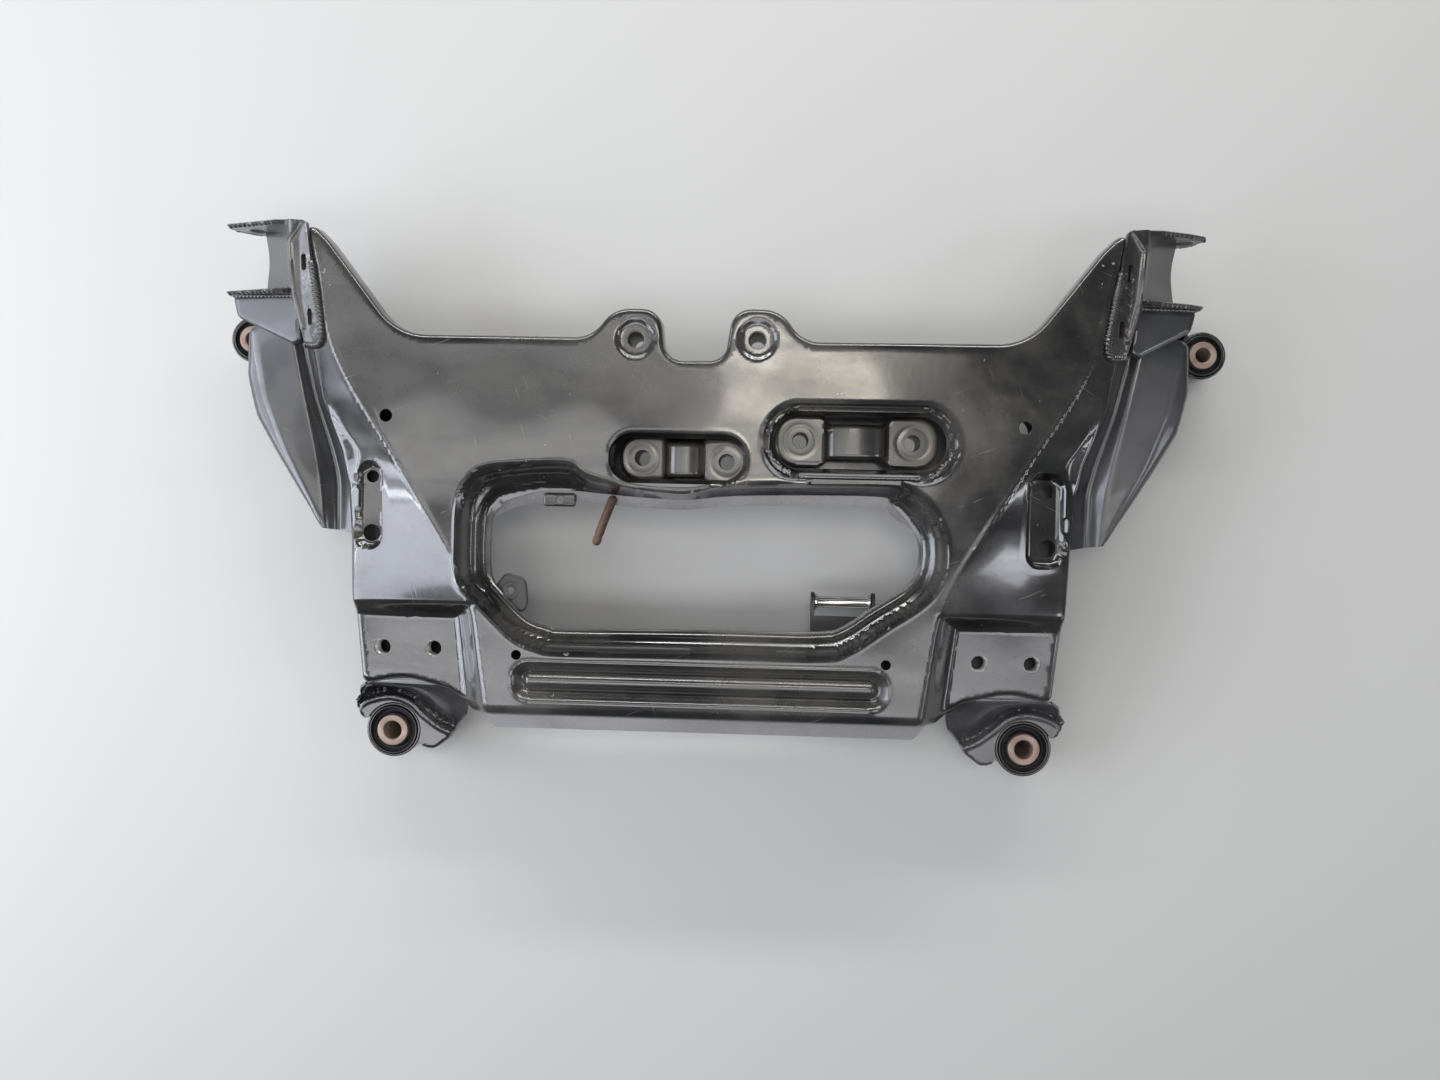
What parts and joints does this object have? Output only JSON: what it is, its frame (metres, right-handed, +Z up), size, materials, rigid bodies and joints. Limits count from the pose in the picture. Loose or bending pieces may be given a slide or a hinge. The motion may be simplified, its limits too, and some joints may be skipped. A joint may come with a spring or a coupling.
{
  "type": "front subframe",
  "caption": "Pressed steel front subframe with a central opening, arm brackets at two horns and rubber mounts at its corners and side arms.",
  "frame": {"origin": "middle of the bounding box's base, on the surface that the mounts' inner sleeves rest on", "axes": "+X across the car to the picture's right, +Y towards the arm brackets, +Z up through the mounts"},
  "size_m": [0.903, 0.477, 0.1235],
  "materials": {
    "black_paint": "worn gloss black",
    "bare_steel": "dull zinc",
    "rusty_steel": "light rust",
    "rubber": "matt"
  },
  "bodies": {
    "root": {"arm_bracket_left": "black_paint", "arm_bracket_right": "black_paint", "arm_gusset_left": "black_paint", "arm_gusset_right": "black_paint", "cable_tab": "black_paint", "corner_bracket_left": "black_paint", "corner_bracket_right": "black_paint", "ear_collar_left": "bare_steel", "ear_collar_right": "bare_steel", "hanger_pin": "rusty_steel", "harness_tab": "black_paint", "lower_shell": "black_paint", "mount_housing_left_corner": "black_paint", "mount_housing_left_side": "black_paint", "mount_housing_right_corner": "black_paint", "mount_housing_right_side": "black_paint", "mount_inner_sleeve_left_corner": "rusty_steel", "mount_inner_sleeve_left_side": "rusty_steel", "mount_inner_sleeve_right_corner": "rusty_steel", "mount_inner_sleeve_right_side": "rusty_steel", "mount_outer_sleeve_left_corner": "bare_steel", "mount_outer_sleeve_left_side": "bare_steel", "mount_outer_sleeve_right_corner": "bare_steel", "mount_outer_sleeve_right_side": "bare_steel", "mount_rubber_left_corner": "rubber", "mount_rubber_left_side": "rubber", "mount_rubber_right_corner": "rubber", "mount_rubber_right_side": "rubber", "pad_nut_left_inner": "bare_steel", "pad_nut_left_outer": "bare_steel", "pad_nut_right_inner": "bare_steel", "pad_nut_right_outer": "bare_steel", "rack_collar_left_inner": "bare_steel", "rack_collar_left_outer": "bare_steel", "rack_collar_right_inner": "bare_steel", "rack_collar_right_outer": "bare_steel", "rack_saddle_left": "black_paint", "rack_saddle_right": "black_paint", "side_arm_left": "black_paint", "side_arm_lower_left": "black_paint", "side_arm_lower_right": "black_paint", "side_arm_right": "black_paint", "strut_bracket": "black_paint", "strut_spool": "bare_steel", "upper_shell": "black_paint"}
  },
  "joints": []
}
